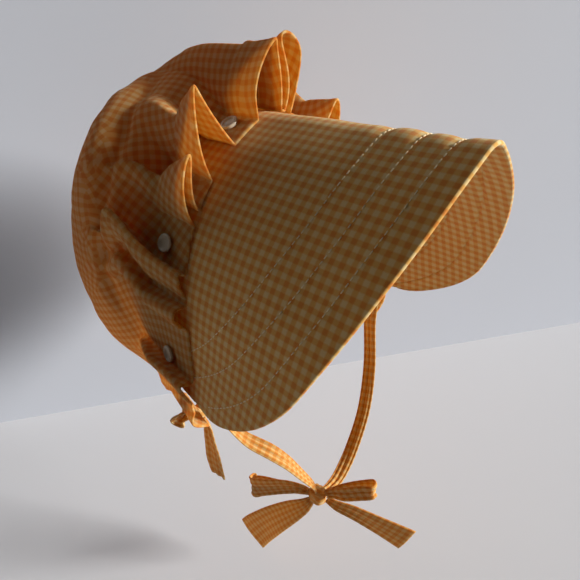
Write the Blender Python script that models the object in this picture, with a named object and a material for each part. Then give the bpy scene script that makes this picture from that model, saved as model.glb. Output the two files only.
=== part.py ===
# Prairie bonnet: a stiffened brim, a one-piece crown buttoned onto it in a standing ruffle, and cotton ties.
# Lengths below are millimetres. The wearer looks along -Y, the wearer's right side is -X, and the origin is
# the place under the top fold where the head bears.
import math

import bmesh
import bpy
import numpy as np

MM = 0.001
BRIM_ARC = 204.0              # from the top fold down to the lowest point of one lobe
BRIM_DEPTH = 184.0            # back edge to front edge along the top fold
BRIM_BACK_Y = 39.0            # back edge of the brim at the top fold
BRIM_WALL = 2.2
BRIM_SWEEP = 0.03             # how far the cloth falls back for each millimetre down the side
RIDGE_BACK_Z = 4.0            # height of the top fold at the back edge
RIDGE_FRONT_Z = 12.0
FRONT_BOW = 0.0014            # the front edge curves back by this much times the arc squared
LOBE_START = 150.0            # the front edge rounds into the lobe from this arc on
LOBE_DROP = 42.0
BACK_CORNER_START = 178.0
BACK_CORNER_DROP = 58.0

CROWN_WALL = 1.1
CROWN_ARC = 226.0             # from the top fold to the crown's lower corner, along the hem
CORNER_START = 190.0          # below this arc the ruffle reaches down, by CORNER_DOWN at its corner
CORNER_DOWN = 9.0
TUCK_START = 203.0            # and below this one it is clear of the brim and draws in
CORNER_IN = 13.0
# Where the ruffle lies on the brim, in front of the brim's back edge: depth at the top, and how much further
# forward it is at the lowest button; for the hem, the buttons and the place where the crown leaves the brim.
SEATS = ((39.0, 28.0), (22.0, 16.0), (10.5, 16.0))
BUTTON_SEAT = SEATS[1]
SEAT_GAP = 0.45               # between cloth and cloth, and between button and cloth
BUTTON_ARCS = (22.0, 73.0, 107.0, 182.0)
BUTTON_RADIUS = 6.0
BUTTON_HEIGHT = 2.6
TIE_WALL = 1.5

# Slope of the brim below the horizontal, down one side: arc, slope at the back edge, slope at the front edge.
BRIM_SLOPES = (
    (0.0, 0.0, 6.0),
    (9.0, 21.0, 35.0),
    (50.0, 36.0, 47.0),
    (100.0, 62.0, 57.0),
    (150.0, 88.0, 62.0),
    (240.0, 92.0, 61.0),
)

# The ruffle from the wearer's right round to the left: standing folds, with flat cloth of height 0 where the
# buttons press it onto the brim.
# arc from, arc to, height, lean towards the wearer's left along the arc, widening of the standing part, forward,
# share of the height at the hem, at the brim's back edge, at the rise and at the crease
FOLDS = (
    (-226.0, -212.0, 5.0, 1.0, 0.0, 0.0, 1.0, 0.8, 0.5, 0.2),
    (-212.0, -205.0, 0.0, 0.0, 0.0, 0.0, 0.0, 0.0, 0.0, 0.0),
    (-205.0, -189.0, 13.0, 10.0, 1.0, 0.0, 0.7, 1.0, 0.5, 0.2),
    (-189.0, -154.0, 0.0, 0.0, 0.0, 0.0, 0.0, 0.0, 0.0, 0.0),
    (-154.0, -138.0, 9.0, 2.0, 2.0, 0.0, 1.0, 1.0, 0.9, 0.4),
    (-138.0, -134.0, 0.0, 0.0, 0.0, 0.0, 0.0, 0.0, 0.0, 0.0),
    (-134.0, -119.0, 17.0, 18.0, 1.0, 0.0, 0.35, 0.9, 0.9, 0.35),
    (-119.0, -90.5, 0.0, 0.0, 0.0, 0.0, 0.0, 0.0, 0.0, 0.0),
    (-90.5, -81.0, 25.0, 25.0, 3.5, 4.0, 1.0, 0.5, 0.25, 0.08),
    (-81.0, -62.0, 0.0, 0.0, 0.0, 0.0, 0.0, 0.0, 0.0, 0.0),
    (-62.0, -35.5, 47.0, 11.0, -2.5, 6.0, 1.0, 0.55, 0.22, 0.06),
    (-35.5, -13.0, 0.0, 0.0, 0.0, 0.0, 0.0, 0.0, 0.0, 0.0),
    (-13.0, 6.5, 40.0, 4.0, -2.5, 2.0, 1.0, 0.92, 0.42, 0.17),
    (6.5, 9.5, 0.0, 0.0, 0.0, 0.0, 0.0, 0.0, 0.0, 0.0),
    (9.5, 15.0, 44.0, -8.5, 3.0, 2.0, 1.0, 0.7, 0.3, 0.1),
    (15.0, 48.0, 0.0, 0.0, 0.0, 0.0, 0.0, 0.0, 0.0, 0.0),
    (48.0, 66.0, 26.0, -7.0, 0.0, 0.0, 1.0, 0.8, 0.45, 0.1),
    (66.0, 82.5, 0.0, 0.0, 0.0, 0.0, 0.0, 0.0, 0.0, 0.0),
    (82.5, 100.0, 22.0, -9.0, 0.0, 0.0, 1.0, 0.8, 0.6, 0.2),
    (100.0, 124.0, 0.0, 0.0, 0.0, 0.0, 0.0, 0.0, 0.0, 0.0),
    (124.0, 144.0, 18.0, -6.0, 0.0, 0.0, 1.0, 0.8, 0.6, 0.2),
    (144.0, 156.0, 0.0, 0.0, 0.0, 0.0, 0.0, 0.0, 0.0, 0.0),
    (156.0, 175.0, 14.0, -4.0, 0.0, 0.0, 1.0, 0.8, 0.6, 0.2),
    (175.0, 189.0, 0.0, 0.0, 0.0, 0.0, 0.0, 0.0, 0.0, 0.0),
    (189.0, 210.0, 9.0, -3.0, 0.0, 0.0, 1.0, 0.8, 0.5, 0.2),
    (210.0, 226.0, 5.0, -1.0, 0.0, 0.0, 1.0, 0.8, 0.5, 0.2),
)

# The crown behind the brim, a row for each section from front to back. Each section runs from the top
# through an upper and a lower side point to the neck edge.
# top y, top z, upper x, y, z, lower x, y, z, neck edge x, y, z
SECTIONS = (
    (66.0, 24.0, 70.0, 46.0, -17.0, 94.0, 49.0, -90.0, 84.0, 49.0, -201.0),
    (98.0, 25.0, 80.0, 62.0, -13.0, 98.0, 62.0, -98.0, 83.0, 55.0, -202.0),
    (120.0, 19.0, 87.0, 86.0, -12.0, 106.0, 80.0, -108.0, 80.0, 60.0, -203.0),
    (148.0, -18.0, 89.0, 120.0, -48.0, 104.0, 106.0, -140.0, 75.0, 65.0, -204.0),
    (157.0, -80.0, 80.0, 136.0, -98.0, 90.0, 116.0, -166.0, 67.0, 68.0, -205.0),
    (144.0, -142.0, 62.0, 128.0, -152.0, 71.0, 108.0, -188.0, 59.0, 70.0, -207.0),
    (110.0, -188.0, 42.0, 104.0, -193.0, 53.0, 92.0, -204.0, 53.0, 72.0, -210.0),
    (80.0, -217.0, 17.0, 80.0, -217.0, 35.0, 80.0, -217.0, 49.0, 72.5, -216.0),
)
SECTION_AT = (0.0, 0.33, 0.68, 1.0)   # where the four points lie between the top and the neck edge
NAPE_GATHERS = 5
NAPE_DEPTH = 0.7

TIE_SEATS = ((166.0, 48.0), (175.0, 52.5), (184.0, 57.0))   # arc and depth of a chin tie's sewn end inside the brim
TIE_SEAT_WIDTH = 12.0
KNOT_END = 5.5                # width of a strap where it goes into a knot
KNOT_POWER = 2.5              # knots are this much squarer than an ellipsoid, whose power is 2

# Ties as flat straps: x, y, z, width, turn of the width about the run, in degrees.
CHIN_TIE_RIGHT = (
    (-91.5, -17.5, -157.0, 13.0, 5.0),
    (-84.0, -21.0, -179.0, 12.0, 15.0),
    (-75.0, -35.0, -198.0, 10.0, 35.0),
    (-64.0, -50.0, -210.0, 10.0, 60.0),
    (-55.0, -57.0, -223.0, 10.0, 50.0),
    (-46.0, -61.0, -240.0, 10.0, 40.0),
    (-37.0, -65.0, -258.0, 8.0, 30.0),
)
CHIN_TIE_LEFT = (
    (91.5, -17.5, -157.0, 13.0, -5.0),
    (84.0, -22.0, -186.0, 12.0, 0.0),
    (71.0, -34.0, -222.0, 11.0, 0.0),
    (50.0, -46.0, -252.0, 11.0, 0.0),
    (24.0, -55.0, -273.0, 11.0, 0.0),
    (0.0, -62.0, -281.0, 10.0, 0.0),
    (-15.0, -65.0, -280.0, 8.0, 0.0),
)
BOW_LOOP_RIGHT = (
    (-41.0, -52.0, -270.0, 10.0, 0.0),
    (-46.0, -40.0, -275.0, 15.0, 0.0),
    (-53.0, -24.0, -284.0, 18.0, 0.0),
    (-55.5, -13.0, -291.0, 19.0, 0.0),
    (-51.0, -8.0, -295.0, 19.0, 0.0),
    (-46.0, -14.0, -294.0, 18.0, 0.0),
    (-41.0, -32.0, -286.0, 15.0, 0.0),
    (-36.0, -50.0, -279.0, 10.0, 0.0),
)
BOW_LOOP_LEFT = (
    (-26.5, -78.0, -267.0, 8.0, 0.0),
    (-25.0, -87.0, -261.0, 11.0, 0.0),
    (-20.0, -98.0, -254.0, 13.0, 0.0),
    (-15.0, -106.0, -250.0, 13.0, 0.0),
    (-10.0, -103.0, -252.0, 13.0, 0.0),
    (-12.0, -92.0, -259.0, 11.0, 0.0),
    (-18.0, -79.0, -267.0, 8.0, 0.0),
)
BOW_TAIL_RIGHT = (
    (-38.0, -55.0, -293.0, 12.0, 0.0),
    (-42.0, -45.0, -306.0, 18.0, 0.0),
    (-48.0, -26.0, -332.0, 25.0, 0.0),
    (-51.0, -8.0, -360.0, 30.0, 0.0),
    (-52.0, 2.0, -378.0, 32.0, 0.0),
)
BOW_TAIL_LEFT = (
    (-23.0, -80.0, -284.0, 12.0, 0.0),
    (-16.0, -91.0, -289.0, 17.0, 0.0),
    (-6.0, -108.0, -298.0, 22.0, 0.0),
    (5.0, -128.0, -308.0, 27.0, 0.0),
)
NAPE_TIE_LOOP = (
    (-87.0, 9.0, -194.0, 8.0, 0.0),
    (-90.5, 16.0, -198.5, 12.0, 0.0),
    (-92.0, 23.0, -206.0, 14.0, 0.0),
    (-88.0, 25.0, -213.0, 14.0, 0.0),
    (-83.5, 19.0, -209.0, 12.0, 0.0),
    (-82.5, 10.0, -200.0, 8.0, 0.0),
)
NAPE_TIE_TAIL = (
    (-83.5, -3.0, -203.0, 11.0, 0.0),
    (-84.0, -4.0, -215.0, 15.0, 0.0),
    (-84.0, -5.0, -228.0, 18.0, 0.0),
    (-84.5, -6.0, -241.0, 19.0, 0.0),
    (-84.5, -8.0, -253.0, 17.0, 0.0),
)
CHIN_KNOT = (-31.0, -65.0, -276.0)
CHIN_KNOT_SIZE = (13.0, 15.0, 17.0)
NAPE_KNOT = (-85.2, 1.4, -190.1)
NAPE_KNOT_SIZE = (10.0, 11.0, 11.0)


def clear_scene():
    for old in list(bpy.data.objects):
        bpy.data.objects.remove(old)


def make_material(name, colour, roughness):
    material = bpy.data.materials.new(name)
    material.use_nodes = True
    shader = material.node_tree.nodes["Principled BSDF"]
    shader.inputs["Base Color"].default_value = (*colour, 1.0)
    shader.inputs["Roughness"].default_value = roughness
    shader.inputs["Metallic"].default_value = 0.0
    return material


def unit(vectors):
    return vectors / np.linalg.norm(vectors, axis=-1, keepdims=True)


def through_points(values, at):
    """A smooth curve through rows of values, read at the row numbers given in at."""
    values = np.asarray(values, float)
    at = np.asarray(at, float)
    last = len(values) - 1
    low = np.clip(np.floor(at).astype(int), 0, last - 1)
    column = (len(at),) + (1,) * (values.ndim - 1)
    part = (at - low).reshape(column)
    first = (low == 0).reshape(column)
    final = (low + 2 > last).reshape(column)
    before = np.where(first, 2 * values[low] - values[low + 1], values[np.maximum(low - 1, 0)])
    after = np.where(final, 2 * values[low + 1] - values[low], values[np.minimum(low + 2, last)])
    here = values[low]
    following = values[low + 1]
    slope_here = (following - before) / 2
    slope_following = (after - here) / 2
    square = part * part
    cube = square * part
    return (
        (2 * cube - 3 * square + 1) * here
        + (cube - 2 * square + part) * slope_here
        + (3 * square - 2 * cube) * following
        + (cube - square) * slope_following
    )


def brim_surface(arc, depth):
    """Outer face of the brim: the slope table is summed along the arc, and the cloth is straight front to back."""
    table = np.array(BRIM_SLOPES)
    fine = np.linspace(0.0, 240.0, 481)
    middle = (fine[1:] + fine[:-1]) / 2
    step = fine[1] - fine[0]
    ends = []
    for column in (1, 2):
        slope = np.radians(np.interp(middle, table[:, 0], table[:, column]))
        out = np.concatenate([[0.0], np.cumsum(np.cos(slope) * step)])
        down = np.concatenate([[0.0], np.cumsum(np.sin(slope) * step)])
        ends.append((out, down))
    length = np.abs(arc)
    share = depth / BRIM_DEPTH
    out = np.interp(length, fine, ends[0][0]) * (1 - share) + np.interp(length, fine, ends[1][0]) * share
    down = np.interp(length, fine, ends[0][1]) * (1 - share) + np.interp(length, fine, ends[1][1]) * share
    ridge = RIDGE_BACK_Z + (RIDGE_FRONT_Z - RIDGE_BACK_Z) * share
    y = BRIM_BACK_Y - depth + BRIM_SWEEP * length
    return np.stack([np.sign(arc) * out, y, ridge - down], axis=-1)


def brim_normal(arc, depth):
    along = brim_surface(arc + 0.5, depth) - brim_surface(arc - 0.5, depth)
    across = brim_surface(arc, depth - 0.5) - brim_surface(arc, depth + 0.5)
    return unit(np.cross(along, across))


def brim_edges(arc):
    """Back and front edge of the brim's cloth at each arc: a shallow bow with rounded lobes."""
    length = np.abs(arc)
    lobe = np.clip((length - LOBE_START) / (BRIM_ARC - LOBE_START), 0, 1)
    front = BRIM_DEPTH - FRONT_BOW * length**2 - LOBE_DROP * (1 - np.sqrt(1 - lobe**2))
    corner = np.clip((length - BACK_CORNER_START) / (BRIM_ARC - BACK_CORNER_START), 0, 1)
    back = BACK_CORNER_DROP * (1 - np.sqrt(1 - corner**2))
    return back, front


def grid_normals(points):
    """Normals of a grid of points, from the differences along its rows and columns."""
    return unit(np.cross(np.gradient(points, axis=0), np.gradient(points, axis=1)))


def wall_object(name, outer, inner, material):
    """A closed wall between two grids of points that have the same rows and columns."""
    rows, columns = outer.shape[:2]
    mesh = bmesh.new()
    sides = []
    for grid in (outer, inner):
        sides.append([[mesh.verts.new(grid[i, j] * MM) for j in range(columns)] for i in range(rows)])
    top, under = sides
    for i in range(rows - 1):
        for j in range(columns - 1):
            mesh.faces.new((top[i][j], top[i + 1][j], top[i + 1][j + 1], top[i][j + 1]))
            mesh.faces.new((under[i][j], under[i][j + 1], under[i + 1][j + 1], under[i + 1][j]))
    rim = [(i, 0) for i in range(rows)]
    rim += [(rows - 1, j) for j in range(1, columns)]
    rim += [(i, columns - 1) for i in range(rows - 2, -1, -1)]
    rim += [(0, j) for j in range(columns - 2, 0, -1)]
    for (i, j), (k, m) in zip(rim, rim[1:] + rim[:1]):
        mesh.faces.new((top[k][m], top[i][j], under[i][j], under[k][m]))
    return finish_object(name, mesh, material)


def finish_object(name, mesh, material):
    bmesh.ops.triangulate(mesh, faces=mesh.faces)
    bmesh.ops.recalc_face_normals(mesh, faces=mesh.faces)
    data = bpy.data.meshes.new(name)
    mesh.to_mesh(data)
    mesh.free()
    data.shade_smooth()
    data.set_sharp_from_angle(angle=math.radians(40))
    data.materials.append(material)
    piece = bpy.data.objects.new(name, data)
    bpy.context.collection.objects.link(piece)
    return piece


def make_brim(material):
    steps = 26
    share = np.linspace(-1.0, 1.0, 2 * steps + 1)
    arc = BRIM_ARC * np.sign(share) * (1 - (1 - np.abs(share)) ** 1.45)
    across = np.linspace(0.0, 1.0, 9)
    back, front = brim_edges(arc)
    arcs = np.repeat(arc[:, None], len(across), axis=1)
    depth = back[:, None] + (front - back)[:, None] * across[None, :]
    outer = brim_surface(arcs, depth)
    inner = outer - brim_normal(arcs, depth) * BRIM_WALL
    return wall_object("brim", outer, inner, material)


def section_curve(line, share):
    """One section of the crown: a smooth curve from the top through both side points to the neck edge. It
    starts one point before the top, on the other side, so that the top stays round."""
    top_y, top_z, upper_x, upper_y, upper_z, lower_x, lower_y, lower_z, neck_x, neck_y, neck_z = line
    points = (
        (-upper_x, upper_y, upper_z),
        (0.0, top_y, top_z),
        (upper_x, upper_y, upper_z),
        (lower_x, lower_y, lower_z),
        (neck_x, neck_y, neck_z),
    )
    at = np.interp(np.abs(share), SECTION_AT, (1.0, 2.0, 3.0, 4.0))
    curve = through_points(points, at)
    curve[:, 0] *= np.sign(share)
    return curve


def seat_depth(arc, seat):
    """Depth of a row of the ruffle on the brim: it moves forward down the side as far as the lowest button."""
    depth, further = seat
    return depth + further * np.minimum(np.abs(arc) / BUTTON_ARCS[-1], 1.0) ** 2


def crown_base(share, row):
    """The crown without its folds. Rows 0 to 2 lie on the brim, at the hem, at the buttons and behind them,
    and the later rows follow the section table. share runs from -1 at the right neck edge to 1 at the left."""
    lift = SEAT_GAP + CROWN_WALL / 2
    arc = share * CROWN_ARC
    hang = np.clip((np.abs(arc) - CORNER_START) / (CROWN_ARC - CORNER_START), 0, 1) ** 2
    tuck = np.clip((np.abs(arc) - TUCK_START) / (CROWN_ARC - TUCK_START), 0, 1) ** 2
    on_brim = []
    for seat in SEATS:
        depths = seat_depth(arc, seat)
        flat = brim_surface(arc, depths) + brim_normal(arc, depths) * lift
        flat[:, 0] -= np.sign(arc) * CORNER_IN * tuck
        flat[:, 2] -= CORNER_DOWN * hang
        on_brim.append(flat)
    sections = [section_curve(line, share) for line in SECTIONS]
    return through_points(np.stack(on_brim + sections), row)


def crown_surface(fold, part, row):
    """Middle of the crown's cloth. fold is the number of the standing fold, part runs from 0 to 1 across it,
    and row from the hem (0) over the buttons (1), the brim's edge (2), the rise (3) and the crease (4) to
    the nape."""
    table = np.array(FOLDS)[fold]
    start, end, height, lean, widening, forward, hem, edge, rise, crease = table.T
    keep = np.stack([hem, (hem + edge) / 2, edge, rise, crease, 0 * rise], axis=0)
    kept = through_points(keep, np.array([min(row, 5.0)]))[0]
    nearest = np.minimum(part, 1 - part)
    climb = np.sin(math.pi * nearest) ** 1.2
    sideways = lean * climb**1.5 - widening * np.sin(2 * math.pi * part) * climb
    arc = start + (end - start) * part + sideways * kept
    share = arc / CROWN_ARC
    here = crown_base(share, np.array([row]))[0]
    along = crown_base(share + 0.004, np.array([row]))[0] - crown_base(share - 0.004, np.array([row]))[0]
    if row < 5:
        out = unit(np.cross(along, np.array([0.0, 1.0, 0.0])))
    else:
        rows = np.clip(np.array([row - 0.05, row + 0.05]), 0, len(SECTIONS) + 2)
        before, after = crown_base(share, rows)
        out = unit(np.cross(along, after - before))
    lifted = here + out * (height * climb * kept)[:, None]
    lifted[:, 1] -= forward * climb * kept
    near_nape = max(0.0, row - 6.5) / (len(SECTIONS) + 2 - 6.5)
    gathers = NAPE_DEPTH * near_nape * (1 - share**2) ** 2 * np.sin(2 * math.pi * NAPE_GATHERS * share)
    return lifted + out * gathers[:, None]


def fold_steps(line):
    """Columns across one fold: few where the cloth lies flat, more where it stands high or leans far."""
    height, lean = line[2:4]
    if height > 22 or lean > 17:
        return 10
    if height >= 10:
        return 6
    return 4 if height > 0 else 2


def make_crown(material):
    folds = []
    parts = []
    for number, line in enumerate(FOLDS):
        steps = fold_steps(line)
        folds += [number] * steps
        parts += [k / steps for k in range(steps)]
    folds.append(len(FOLDS) - 1)
    parts.append(1.0)
    fold = np.array(folds)
    part = np.array(parts)
    rows = np.array([0.0, 1.0, 2.0, 2.5, 3.0, 3.5, 4.0, 4.6, 5.4, 6.4, 7.4, 8.6, 10.0])
    middle = np.stack([crown_surface(fold, part, row) for row in rows], axis=1)
    out = grid_normals(middle)
    return wall_object("crown", middle + out * CROWN_WALL / 2, middle - out * CROWN_WALL / 2, material)


def make_buttons(material):
    made = []
    profile = ((0.0, 0.62), (0.62, 0.62), (0.80, 1.0), (0.94, 0.92), (1.0, 0.55), (0.90, 0.0), (0.0, 0.0))
    for number, arc in enumerate(BUTTON_ARCS[::-1] + tuple(-a for a in BUTTON_ARCS)):
        place = np.array([-arc])
        depth = seat_depth(place, BUTTON_SEAT)
        out = brim_normal(place, depth)[0]
        ground = brim_surface(place, depth)[0] + out * (2 * SEAT_GAP + CROWN_WALL)
        side = unit(np.cross(out, np.array([0.0, 1.0, 0.0])))
        back = np.cross(side, out)
        mesh = bmesh.new()
        turns = 14
        rings = []
        for radius, height in profile[1:-1]:
            ring = []
            for k in range(turns):
                angle = 2 * math.pi * k / turns
                spoke = side * math.cos(angle) + back * math.sin(angle)
                ring.append(mesh.verts.new((ground + spoke * radius * BUTTON_RADIUS + out * height * BUTTON_HEIGHT) * MM))
            rings.append(ring)
        for low, high in zip(rings, rings[1:]):
            for k in range(turns):
                mesh.faces.new((low[k], low[(k + 1) % turns], high[(k + 1) % turns], high[k]))
        mesh.faces.new(rings[0])
        mesh.faces.new(rings[-1][::-1])
        made.append(finish_object(f"button_{number + 1}", mesh, material))
    return made


def make_strap(name, table, rings, wall, up, material):
    """A flat strap with round edges, carried along a smooth path. Its width stays near the direction up."""
    table = np.array(table)
    rows = np.linspace(0, len(table) - 1, rings)
    values = through_points(table, rows)
    path = values[:, :3]
    width = values[:, 3]
    turn = np.radians(values[:, 4])
    run = unit(np.gradient(path, axis=0))
    up = np.array(up, float)
    face = unit(np.cross(run, up))
    rise = np.cross(face, run)
    side = rise * np.cos(turn)[:, None] + face * np.sin(turn)[:, None]
    flat = np.cross(run, side)
    mesh = bmesh.new()
    outline = ((-0.5, 0.0), (-0.44, 0.5), (0.0, 0.5), (0.44, 0.5), (0.5, 0.0), (0.44, -0.5), (0.0, -0.5), (-0.44, -0.5))
    made = []
    for k in range(rings):
        ring = [
            mesh.verts.new((path[k] + side[k] * width[k] * a + flat[k] * wall * b) * MM) for a, b in outline
        ]
        made.append(ring)
    count = len(outline)
    for low, high in zip(made, made[1:]):
        for k in range(count):
            mesh.faces.new((low[k], high[k], high[(k + 1) % count], low[(k + 1) % count]))
    mesh.faces.new(made[0])
    mesh.faces.new(made[-1][::-1])
    return finish_object(name, mesh, material)


def knot_end(row, place, size):
    """A strap's last row: on the line from the knot's middle to the strap's first free row, clear of the knot."""
    away = unit(np.array(row[:3]) - np.array(place))
    reach = np.sum(np.abs(2 * away / np.array(size)) ** KNOT_POWER) ** (-1 / KNOT_POWER)
    point = np.array(place) + away * (reach + SEAT_GAP)
    return (*point, KNOT_END, row[4])


def sewn_end(side):
    """The rows of a chin tie that lie against the brim's inner face. side is -1 on the right, 1 on the left."""
    rows = []
    for arc, depth in TIE_SEATS:
        here = brim_surface(np.array([side * arc]), np.array([depth]))[0]
        back = brim_surface(np.array([side * arc]), np.array([depth - 1]))[0]
        out = brim_normal(np.array([side * arc]), np.array([depth]))[0]
        point = here - out * (BRIM_WALL + 2 * SEAT_GAP + TIE_WALL / 2)
        turn = math.degrees(math.atan2((back - here)[0], (back - here)[1]))
        rows.append((*point, TIE_SEAT_WIDTH, turn))
    return tuple(rows)


def make_knot(name, place, size, material):
    mesh = bmesh.new()
    bmesh.ops.create_uvsphere(mesh, u_segments=12, v_segments=8, radius=0.5)
    for vertex in mesh.verts:
        squared = [math.copysign(abs(2 * c) ** (2 / KNOT_POWER), c) / 2 for c in vertex.co]
        vertex.co = [(p + s * c) * MM for p, s, c in zip(place, size, squared)]
    return finish_object(name, mesh, material)


def main():
    clear_scene()
    gingham = make_material("gingham", (0.80, 0.42, 0.13), 0.9)
    lining = make_material("brim_cloth", (0.72, 0.38, 0.14), 0.9)
    tie_cloth = make_material("tie_cloth", (0.80, 0.45, 0.16), 0.9)
    pearl = make_material("pearl", (0.85, 0.83, 0.78), 0.25)
    make_brim(lining)
    make_crown(gingham)
    make_buttons(pearl)
    upright = (0.0, 0.0, 1.0)
    lengthwise = (0.0, 1.0, 0.0)
    chin = (CHIN_KNOT, CHIN_KNOT_SIZE)
    nape = (NAPE_KNOT, NAPE_KNOT_SIZE)
    right = sewn_end(-1) + CHIN_TIE_RIGHT + (knot_end(CHIN_TIE_RIGHT[-1], *chin),)
    left = sewn_end(1) + CHIN_TIE_LEFT + (knot_end(CHIN_TIE_LEFT[-1], *chin),)
    loop_right = (knot_end(BOW_LOOP_RIGHT[0], *chin),) + BOW_LOOP_RIGHT + (knot_end(BOW_LOOP_RIGHT[-1], *chin),)
    loop_left = (knot_end(BOW_LOOP_LEFT[0], *chin),) + BOW_LOOP_LEFT + (knot_end(BOW_LOOP_LEFT[-1], *chin),)
    tail_right = (knot_end(BOW_TAIL_RIGHT[0], *chin),) + BOW_TAIL_RIGHT
    tail_left = (knot_end(BOW_TAIL_LEFT[0], *chin),) + BOW_TAIL_LEFT
    nape_loop = (knot_end(NAPE_TIE_LOOP[0], *nape),) + NAPE_TIE_LOOP + (knot_end(NAPE_TIE_LOOP[-1], *nape),)
    nape_tail = (knot_end(NAPE_TIE_TAIL[0], *nape),) + NAPE_TIE_TAIL
    make_strap("chin_tie_right", right, 20, TIE_WALL, lengthwise, tie_cloth)
    make_strap("chin_tie_left", left, 20, TIE_WALL, lengthwise, tie_cloth)
    make_strap("bow_loop_right", loop_right, 20, TIE_WALL, upright, tie_cloth)
    make_strap("bow_loop_left", loop_left, 18, TIE_WALL, upright, tie_cloth)
    make_strap("bow_tail_right", tail_right, 12, TIE_WALL, (0.0, 1.0, 0.55), tie_cloth)
    make_strap("bow_tail_left", tail_left, 12, TIE_WALL, upright, tie_cloth)
    make_strap("nape_tie_loop", nape_loop, 16, TIE_WALL, (1.0, 0.0, 0.0), tie_cloth)
    make_strap("nape_tie_tail", nape_tail, 10, TIE_WALL, lengthwise, tie_cloth)
    make_knot("chin_knot", CHIN_KNOT, CHIN_KNOT_SIZE, tie_cloth)
    make_knot("nape_knot", NAPE_KNOT, NAPE_KNOT_SIZE, tie_cloth)


main()
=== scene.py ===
# Looks of the prairie bonnet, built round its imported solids. Lengths are millimetres until a mesh is made.
# +Z is up, the wearer looks along -Y and the wearer's right side is -X.
import math

import bpy
import numpy as np
from mathutils import Matrix, Vector


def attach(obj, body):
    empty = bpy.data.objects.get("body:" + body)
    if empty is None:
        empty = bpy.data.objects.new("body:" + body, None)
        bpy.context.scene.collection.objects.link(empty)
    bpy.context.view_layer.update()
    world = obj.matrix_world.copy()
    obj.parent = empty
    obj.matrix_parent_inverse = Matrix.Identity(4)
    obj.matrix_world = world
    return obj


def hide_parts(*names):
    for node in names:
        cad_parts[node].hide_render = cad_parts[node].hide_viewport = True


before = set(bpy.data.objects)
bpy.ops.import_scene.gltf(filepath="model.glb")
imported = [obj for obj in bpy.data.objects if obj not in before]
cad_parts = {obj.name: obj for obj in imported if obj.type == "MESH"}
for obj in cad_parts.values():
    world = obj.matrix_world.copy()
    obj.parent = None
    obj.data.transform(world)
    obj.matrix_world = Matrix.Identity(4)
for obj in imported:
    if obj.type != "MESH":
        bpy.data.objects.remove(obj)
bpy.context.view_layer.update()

toMetres = 0.001
check = 6.35  # an orange and a pale check together


# Each vector divided by its own length.
def unit(vectors):
    return vectors / np.maximum(np.linalg.norm(vectors, axis=-1, keepdims=True), 1e-9)


# A smooth step from 0 at low to 1 at high: 3t^2 - 2t^3 of the clipped share t of the way.
def step(value, low, high):
    t = np.clip((value - low) / (high - low), 0, 1)
    return t * t * (3 - 2 * t)


# A cubic curve through rows of values, read at fractional row numbers; its slope at a row is half the
# difference of the rows beside it.
def throughPoints(values, at):
    values = np.asarray(values, float)
    at = np.asarray(at, float)
    last = len(values) - 1
    low = np.clip(np.floor(at).astype(int), 0, last - 1)
    column = (len(at),) + (1,) * (values.ndim - 1)
    t = (at - low).reshape(column)
    first = (low == 0).reshape(column)
    final = (low + 2 > last).reshape(column)
    before = np.where(first, 2 * values[low] - values[low + 1], values[np.maximum(low - 1, 0)])
    after = np.where(final, 2 * values[low + 1] - values[low], values[np.minimum(low + 2, last)])
    here, following = values[low], values[low + 1]
    slopeHere, slopeNext = (following - before) / 2, (after - here) / 2
    return (
        (2 * t**3 - 3 * t**2 + 1) * here
        + (t**3 - 2 * t**2 + t) * slopeHere
        + (3 * t**2 - 2 * t**3) * following
        + (t**3 - t**2) * slopeNext
    )


# Soft unevenness between about -1 and 1: the mean of seeded sine waves that run in all directions through
# space, with wavelengths between the two given.
def unevenness(points, seed, longest, shortest, count=14):
    chance = np.random.default_rng(seed)
    direction = unit(chance.normal(size=(count, 3)))
    wave = np.exp(chance.uniform(np.log(shortest), np.log(longest), count))
    phase = chance.uniform(0, 2 * np.pi, count)
    angle = points @ (direction * (2 * np.pi / wave)[:, None]).T + phase
    return np.sin(angle).mean(axis=-1) * 2.2


# Normals of a grid: the cross product of the differences along its rows and along its columns.
def gridNormals(points):
    return unit(np.cross(np.gradient(points, axis=0), np.gradient(points, axis=1)))


# Corner numbers of the squares of a grid whose first vertex has the number base.
def gridQuads(rows, columns, base=0, turned=False):
    i, j = np.meshgrid(np.arange(rows - 1), np.arange(columns - 1), indexing="ij")
    a = (base + i * columns + j).ravel()
    quads = np.stack([a, a + columns, a + columns + 1, a + 1], axis=1)
    return quads[:, ::-1] if turned else quads


# Corner numbers of the squares between closed rings of points that follow each other.
def ringQuads(rings, turns):
    k = np.arange(turns)
    following = (k + 1) % turns
    start = np.arange(rings - 1)[:, None] * turns
    corners = [start + k, start + turns + k, start + turns + following, start + following]
    return np.stack(corners, axis=-1).reshape(-1, 4)


# Corner numbers of the fans that close the end rings, round the two points that follow the rings.
def ringFans(rings, turns):
    k = np.arange(turns)
    following = (k + 1) % turns
    last = (rings - 1) * turns
    first = np.stack([np.full(turns, rings * turns), k, following], axis=1)
    final = np.stack([np.full(turns, rings * turns + 1), last + following, last + k], axis=1)
    return np.concatenate([first, final])


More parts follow.
